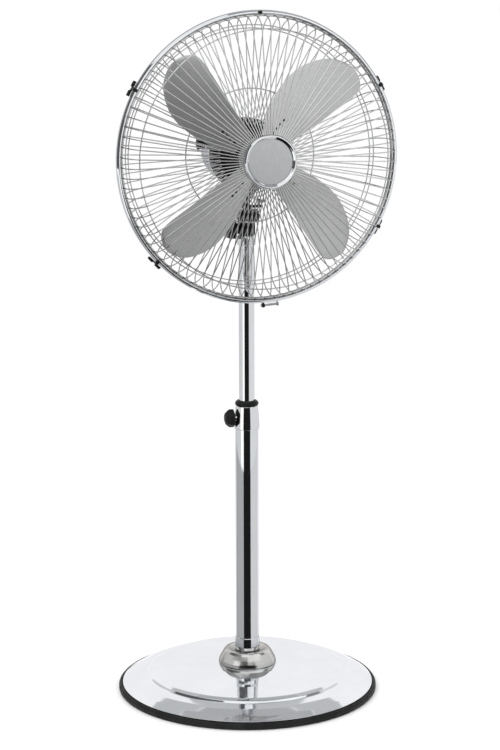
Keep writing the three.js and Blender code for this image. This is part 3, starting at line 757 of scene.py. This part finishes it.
def make_housing():
    """The bright shell behind the cover, with a ring of vents and the screws on its back."""
    screws = 3
    bm = bmesh.new()
    turn_into(bm, rounded([
        (50.3, -76.4), (50.1, -96, 8), (48.7, -132, 16), (45.7, -150, 12), (38.8, -163.1, 9),
        (26, -169.8, 8), (1.2, -171.8, 0), (1.2, -170), (26, -168, 6), (37.6, -161.5, 8),
        (44.1, -149.4, 10), (47.1, -132, 12), (48.5, -96, 8), (48.9, -76.4),
    ], 5), 128)
    shell = new_object("motor_housing_visual", bm, HEAD)
    cut_slots(shell, 47.5, 24, 4.2, 15, -134, 0.35)
    finish_piece(shell, "head", chrome, "chrome", "motor_housing")
    bm = bmesh.new()
    for k in range(screws):
        spin = Matrix.Rotation(TAU * (k / screws + 0.25), 4, "Z")
        place = spin @ Matrix.Translation((33, 0, -167.2)) @ Matrix.Rotation(math.radians(24), 4, "Y")
        solid_turn_into(bm, [(2.6, 3), (3, 2.6), (3, -0.6), (2.4, -1.2), (0.5, -1.4)], 24, place)
    solid_turn_into(bm, [(7, -170.2), (7, -171.6), (6.4, -171.95), (0.5, -171.98)], 40)
    finish_mesh("housing_screws_visual", bm, HEAD, "head", steel, "steel", "motor_housing")


# ---- swivel drive ---------------------------------------------------------------------------------
SWIVEL_Y = middle("swivel_pin").y / MM
CRANK_AT = middle("crank_disc") / MM
CRANK_PIN_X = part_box("crank_disc")[1].x / MM - 5
ANCHOR_X = 20


def upright(x, y):
    """An upright axis in millimetres."""
    return Matrix.Translation((x, y, 0))


def make_crank():
    bm = bmesh.new()
    solid_turn_into(bm, [
        (3.4, 789), (3.4, 764.8), (17.4, 764.6), (17.9, 764.1), (17.9, 761.6), (17.4, 761.1), (0.5, 761),
    ], 64, upright(CRANK_AT.x, CRANK_AT.y))
    solid_turn_into(bm, [(2.2, 762), (2.2, 752.6), (1.8, 752.1), (0.4, 752.1)], 24,
                    upright(CRANK_PIN_X, CRANK_AT.y))
    finish_mesh("crank_disc_visual", bm, WORLD, "crank", steel, "steel", "crank_disc")


def make_link():
    """A flat arm with a small eye on the crank's pin and a wide one round the anchor pin."""
    bm = bmesh.new()
    for y, outer, hole in ((SWIVEL_Y, 7.9, 6.9), (CRANK_AT.y, 5, 2.6)):
        eye = rounded([(hole, 756.1), (outer, 756.1, 0.3), (outer, 758.9, 0.3), (hole, 758.9)])
        turn_into(bm, eye, 48, upright(CRANK_PIN_X, y))
    block_into(bm, (CRANK_PIN_X - 3.4, SWIVEL_Y + 7.2, 756.2),
               (CRANK_PIN_X + 3.4, CRANK_AT.y - 4, 758.8), 0.4)
    finish_mesh("link_arm_visual", bm, WORLD, "link", steel, "steel", "link_arm")


def make_tilt_bracket():
    """A tongue between the yoke's ears, the swivel pin's seat on it and an arm with the anchor pin."""
    bm = bmesh.new()
    tongue = half_circle(9.2, -math.pi / 2) + [(-12.6, 6), (-12.6, -9.2)]
    plate_into(bm, tongue, -4.5, 4.5, 0.8, TILT_AXIS)
    seat = rounded([
        (3.9, 748.2), (9.3, 748.2, 0.6), (9.3, 752.2, 0.8), (6, 753, 0.6), (6, 762.2, 0.3), (3.9, 762.2),
    ])
    turn_into(bm, seat, 48, upright(0, SWIVEL_Y))
    block_into(bm, (0, -4.4, 748.2), (ANCHOR_X, 4.4, 751.9), 0.8, upright(0, SWIVEL_Y))
    solid_turn_into(bm, [
        (4.4, 748.2), (4.4, 751.8), (2.2, 752), (2.2, 760.5), (1.8, 760.9), (0.4, 760.9),
    ], 32, upright(ANCHOR_X, SWIVEL_Y))
    finish_mesh("tilt_bracket_visual", bm, WORLD, "tilt_neck", black_plastic, "black_plastic",
                "tilt_bracket")


# ---- guards -------------------------------------------------------------------------------------
WIRE_COUNT = 88
WIRE_R = 0.85
RIM_WIRE_R = 206.4
RIM_WIRE_THICK = 1.6
RIM_WIRE_DEPTH = 2.4
WIRE_START_DEPTH = 2.6
OVAL_POWER = 0.9
SHOULDER_STEPS = 14
FACE_STEPS = 6


def wire_path(shoulder_r, shoulder_z, end_r, end_z):
    """A radial wire as (radius, depth): up from the rim round a wide quarter oval, then in to the middle."""
    start = math.copysign(WIRE_START_DEPTH, shoulder_z)
    path = []
    for k in range(SHOULDER_STEPS + 1):
        t = math.pi / 2 * k / SHOULDER_STEPS
        path.append((shoulder_r + (RIM_WIRE_R - shoulder_r) * math.cos(t) ** OVAL_POWER,
                     start + (shoulder_z - start) * math.sin(t) ** OVAL_POWER))
    for k in range(1, FACE_STEPS + 1):
        t = k / FACE_STEPS
        path.append((shoulder_r + (end_r - shoulder_r) * t, shoulder_z + (end_z - shoulder_z) * t))
    return path


def wire_section(radius, depth, thick):
    """The round section of a ring of wire."""
    return [(radius + x, depth + z) for x, z in circle(thick, 14)]


def make_guard(side, path, rings, hub_profile, hub_finish, hub_slot):
    """A guard of round radial wires welded to rings, with a pressed plate in the middle."""
    paths = []
    for k in range(WIRE_COUNT):
        angle = TAU * (k + 0.5) / WIRE_COUNT
        paths.append([(r * math.cos(angle), r * math.sin(angle), z) for r, z in path])
    cage = wires(f"{side}_guard_wires", paths, WIRE_R, HEAD)
    finish_piece(cage, "head", wire_chrome, "chrome", f"{side}_guard_face", f"{side}_guard_side")
    bm = bmesh.new()
    for radius, depth, thick in rings:
        turn_into(bm, wire_section(radius, depth, thick), 192)
    finish_mesh(f"{side}_guard_rings", bm, HEAD, "head", wire_chrome, "chrome", f"{side}_guard_side",
                smooth_angle=60)
    turned(f"{side}_guard_plate", hub_profile, "head", hub_finish, hub_slot, f"{side}_guard_face",
           matrix=HEAD, segments=128)


def make_front_guard():
    make_guard(
        "front", wire_path(182, 38, 35, 52),
        [(RIM_WIRE_R, RIM_WIRE_DEPTH, RIM_WIRE_THICK), (188, 34.4, 0.95)],
        [(31.8, 50.6), (38.2, 50.6, 0.5), (38.2, 53.3, 0.8), (36, 53.9, 0.8), (31.8, 53.4)],
        chrome, "chrome")


def make_rear_guard():
    make_guard(
        "rear", wire_path(181, -42.5, 46, -45.5),
        [(RIM_WIRE_R, -RIM_WIRE_DEPTH, RIM_WIRE_THICK), (191.5, -36.7, 0.9), (186.5, -40.2, 0.9)],
        [(24.5, -47.9), (48.6, -47.9, 0.5), (49, -46.6, 0.6), (48, -45.1, 0.8), (24.5, -45.1)],
        black_plastic, "black_plastic")
    turned("rear_middle_ring_visual", wire_section(99, -43.2, 0.95),
           "head", wire_chrome, "chrome", "rear_guard_middle_ring", matrix=HEAD, segments=192)


def make_guard_nut():
    """The plastic ring nut that holds the rear guard, with grips round its edge."""
    grips = 24
    turned("rear_guard_nut_visual", [
        (24.6, -44.5), (36, -44.5, 1.2), (36.8, -42.6, 0.8), (35.6, -39.7, 1.2), (24.6, -39.6, 0.6),
    ], "head", black_plastic, "black_plastic", "rear_guard_nut", matrix=HEAD)
    bm = bmesh.new()
    for k in range(grips):
        spin = Matrix.Rotation(TAU * k / grips, 4, "Z")
        block_into(bm, (35.4, -1.7, -44.2), (36.98, 1.7, -40.2), 0.4, spin)
    finish_mesh("rear_guard_nut_grips", bm, HEAD, "head", black_plastic, "black_plastic",
                "rear_guard_nut")


# ---- trim ring and its fastenings ---------------------------------------------------------------
SCREW_BEARING = math.radians(-86)
CLIP_ANGLES = (29, 151, 223, 330)


def make_trim():
    turned("guard_trim_visual", [
        (208.3, 4.4, 0.4), (209.4, 5.75, 1.2), (211.4, 5.75, 2.4), (213.98, 3, 2.4), (213.98, -3, 2.4),
        (211.4, -5.75, 2.4), (209.4, -5.75, 1.2), (208.3, -4.4, 0.4),
    ], "head", chrome, "chrome", "guard_trim_ring", matrix=HEAD, segments=256)


def make_lock_screw():
    """The draw screw that lies along the trim ring at its bottom, and its nut."""
    out = Matrix.Rotation(SCREW_BEARING, 4, "Z") @ Matrix.Translation((RIM_R + 3.6, 0, 0))
    along = out @ Matrix.Rotation(math.radians(-90), 4, "X")
    bm = bmesh.new()
    solid_turn_into(bm, [
        (0.3, -12.9), (1.4, -12.9), (1.8, -12.4), (1.8, 12), (3.2, 12.1), (3.3, 12.6), (3.2, 14.2),
        (2.4, 14.9), (0.3, 14.95),
    ], 28, along)
    finish_mesh("lock_screw_visual", bm, HEAD, "head", steel, "steel", "lock_screw")
    bm = bmesh.new()
    turn_into(bm, [(2.1, -10.9), (3.3, -10.9), (3.3, -7.1), (2.1, -7.1)], 6, along)
    finish_mesh("lock_nut_visual", bm, HEAD, "head", black_plastic, "black_plastic", "lock_nut")


def make_top_hook():
    bm = bmesh.new()
    outline = rounded([(-2.9, 208.3, 1.2), (2.9, 208.3, 1.2), (2.9, 212.9, 1), (-2.9, 212.9, 1)])
    plate_into(bm, outline, 6.15, 8.7, 0.6)
    finish_mesh("guard_top_hook_visual", bm, HEAD, "head", black_plastic, "black_plastic",
                "guard_top_hook")


def make_clip(number, angle):
    """A moulded clip over the trim: a pad outside, a narrow hook in front and two finger lugs behind."""
    across = Matrix.Rotation(math.radians(90), 4, "X")
    turn = Matrix.Rotation(math.radians(angle), 4, "Z")
    hook = rounded([
        (214.5, -8.9, 0.4), (216.3, -8.9, 0.6), (216.3, 6.6, 1.2), (214.6, 8.05, 1.2), (209.7, 8.05, 0.6),
        (209.7, 6.3, 0.3), (213.4, 6.25, 0.6), (214.5, 5.4, 0.3),
    ])
    bm = bmesh.new()
    plate_into(bm, hook, -2.3, 2.3, 0.4, turn @ across)
    block_into(bm, (214.5, -11.8, -8.9), (216.5, 11.8, -1.2), 0.7, turn)
    for low, high in ((-11.9, -2.7), (2.7, 11.9)):
        block_into(bm, (215.4, low, -8.9), (218.5, high, -3.2), 1.2, turn)
    finish_mesh(f"guard_clip_{number}_visual", bm, HEAD, f"clip_{number}", black_plastic,
                "black_plastic", f"guard_clip_{number}")


# ---- badge --------------------------------------------------------------------------------------
def make_badge():
    """A plain satin disc in a bright bezel."""
    turned("badge_bezel_visual", [
        (33.1, 54.1), (39.3, 54.1, 0.4), (39.45, 57.4, 1), (37.9, 59.9, 1.2), (36.4, 59.9, 0.8),
        (34.2, 58, 1), (33.1, 57.3, 0.4),
    ], "head", chrome, "chrome", "badge_bezel", matrix=HEAD, segments=160)
    bm = bmesh.new()
    solid_turn_into(bm, [
        (0.3, 54.3), (32.9, 54.3), (32.9, 56.5), (32.6, 56.8), (24, 56.95), (12, 57), (0.3, 57),
    ], 128)
    finish_mesh("badge_disc_visual", bm, HEAD, "head", badge_metal, "satin_badge", "badge_disc")


def make_badge_back():
    """The plate behind the guard's middle, with the heads of its three screws."""
    screws = 3
    bm = bmesh.new()
    solid_turn_into(bm, [
        (0.3, 46.9), (36.4, 46.9), (36.9, 47.3), (36.9, 48.2), (36.5, 48.5), (0.3, 48.5),
    ], 96)
    for k in range(screws):
        spin = Matrix.Rotation(TAU * (k / screws + 0.25), 4, "Z")
        place = spin @ Matrix.Translation((28, 0, 0))
        solid_turn_into(bm, [(2.6, 46.95), (2.4, 46.2), (1.6, 45.8), (0.3, 45.7)], 20, place)
    finish_mesh("badge_back_visual", bm, HEAD, "head", chrome, "chrome", "badge_back_plate")


# ---- fan ----------------------------------------------------------------------------------------
BLADE_ANGLES = (49.5, 139.5, 229.5, 319.5)
TIP_R = 192.2
# From root to tip: a radius, and the trailing and leading edge there, in degrees round the shaft.
BLADE_ROWS = ((34, -28, 28), (50, -24, 27), (80, -20.5, 23.5), (110, -19, 19.5), (140, -18.3, 14.5),
              (163, -17.8, 8.5), (179, -16.5, 3), (188, -13, -2), (TIP_R, -8.6, -6.4))
BLADE_COLUMNS = 26
BLADE_STEPS = 66
BLADE_DEPTH = -2
HALF_THICKNESS = 0.6
ROOT_PITCH = math.radians(26)
TIP_PITCH = math.radians(15)
TWIST_START_R = 80
CAMBER = 2.6
CAMBER_START_R = 40
CAMBER_FULL_R = 100
# Each rivet's radius and its bearing in degrees from the blade's middle.
RIVETS = ((43, 7), (51, 6), (59, 5), (67, 4))


def spline(values, t):
    """Catmull-Rom through equally spaced rows."""
    last = len(values) - 1
    i = min(int(t), last - 1)
    f = t - i
    before, a, b, after = (values[min(max(i + k, 0), last)] for k in (-1, 0, 1, 2))
    return tuple(
        0.5 * (2 * q + (r - p) * f + (2 * p - 5 * q + 4 * r - s) * f ** 2
               + (3 * q - p - 3 * r + s) * f ** 3)
        for p, q, r, s in zip(before, a, b, after))


def blade_point(radius, angle, across):
    """A point of the blade's middle surface: pitched, twisted towards the tip and cambered across."""
    x = radius * math.cos(math.radians(angle))
    y = radius * math.sin(math.radians(angle))
    along = min(max((x - TWIST_START_R) / (TIP_R - TWIST_START_R), 0), 1)
    pitch = ROOT_PITCH + (TIP_PITCH - ROOT_PITCH) * along
    rise = min(1, max(0, (radius - CAMBER_START_R) / (CAMBER_FULL_R - CAMBER_START_R)))
    camber = CAMBER * (1 - (2 * across - 1) ** 2) * rise
    return Vector((x, y, BLADE_DEPTH - y * math.tan(pitch) + camber))


def make_blade(number, angle):
    """A thin blade whose edges taper: each row runs over its front and back again behind."""
    bm = bmesh.new()
    spin = Matrix.Rotation(math.radians(angle), 4, "Z")
    loops = []
    for i in range(BLADE_STEPS + 1):
        radius, trailing, leading = spline(BLADE_ROWS, (len(BLADE_ROWS) - 1) * i / BLADE_STEPS)
        upper = []
        lower = []
        for c in range(BLADE_COLUMNS + 1):
            across = 0.5 - 0.5 * math.cos(math.pi * c / BLADE_COLUMNS)
            point = blade_point(radius, trailing + (leading - trailing) * across, across)
            half = HALF_THICKNESS * min(1, 0.35 + 1.3 * math.sin(math.pi * across) ** 0.5)
            upper.append(bm.verts.new(spin @ (point + Vector((0, 0, half)))))
            lower.append(bm.verts.new(spin @ (point - Vector((0, 0, half)))))
        loops.append(upper + lower[::-1])
    bridge(bm, loops)
    finish_mesh(f"blade_{number}_visual", bm, HEAD, "fan_rotor", blade_metal, "satin_aluminium",
                f"blade_{number}", smooth_angle=50)


def make_spider():
    """A hub with a flange and four flat arms, one behind each blade."""
    bm = bmesh.new()
    turn_into(bm, rounded([
        (4.3, -11.9), (12, -11.9, 1), (13, -10, 1), (13, -4.4, 1), (29.8, -4.4, 0.4), (29.8, -1.6, 0.4),
        (13, -1.6, 1), (13, 13.6, 1), (12, 14.9, 0.8), (4.3, 14.9),
    ]), 72)
    arm = rounded([(18, -9), (64, -9, 5), (64, 9, 5), (18, 9)], 5)
    for angle in BLADE_ANGLES:
        tilt = Matrix.Rotation(math.radians(angle), 4, "Z") @ Matrix.Rotation(-ROOT_PITCH, 4, "X")
        plate_into(bm, arm, BLADE_DEPTH - 3, BLADE_DEPTH - 1.4, 0.4, tilt)
    finish_mesh("blade_spider_visual", bm, HEAD, "fan_rotor", blade_metal, "satin_aluminium",
                "blade_spider")


def make_rivets():
    bm = bmesh.new()
    for angle in BLADE_ANGLES:
        turn = Matrix.Rotation(math.radians(angle), 4, "Z")
        for radius, bearing in RIVETS:
            foot = blade_point(radius, bearing, 0.5)
            place = turn @ Matrix.Translation(foot) @ Matrix.Rotation(-ROOT_PITCH, 4, "X")
            solid_turn_into(bm, [(2.1, 0.5), (2, 1), (1.6, 1.5), (0.9, 1.8), (0.3, 1.9)], 24, place)
    finish_mesh("blade_rivets", bm, HEAD, "fan_rotor", black_plastic, "black_plastic", smooth_angle=50)


def make_blade_nut():
    bm = bmesh.new()
    stack_into(bm, lobed(11.9, 1.1, 6, 10), [
        (0.97, 15.4), (1, 16), (1, 22.6), (0.95, 24.6), (0.82, 25.7), (0.02, 25.95),
    ], WORLD)
    finish_mesh("blade_nut_visual", bm, HEAD, "fan_rotor", black_plastic, "black_plastic", "blade_nut",
                smooth_angle=40)


# ---- the whole object ------------------------------------------------------------------------------
finish_cad_nodes()
make_camera()
make_studio()
make_base()
make_pole_foot()
make_lower_pole()
make_collar()
make_height_clamp()
make_upper_pole()
make_yoke()
make_tilt_bolt()
make_switch_housing()
make_gland()
make_tilt_lock()
make_speed_knob()
make_oscillation_knob()
make_motor_cover()
make_housing()
make_crank()
make_link()
make_tilt_bracket()
make_front_guard()
make_rear_guard()
make_guard_nut()
make_trim()
make_lock_screw()
make_top_hook()
for clip_number, clip_angle in enumerate(CLIP_ANGLES, start=1):
    make_clip(clip_number, clip_angle)
make_badge()
make_badge_back()
for blade_number, blade_angle in enumerate(BLADE_ANGLES, start=1):
    make_blade(blade_number, blade_angle)
make_spider()
make_rivets()
make_blade_nut()
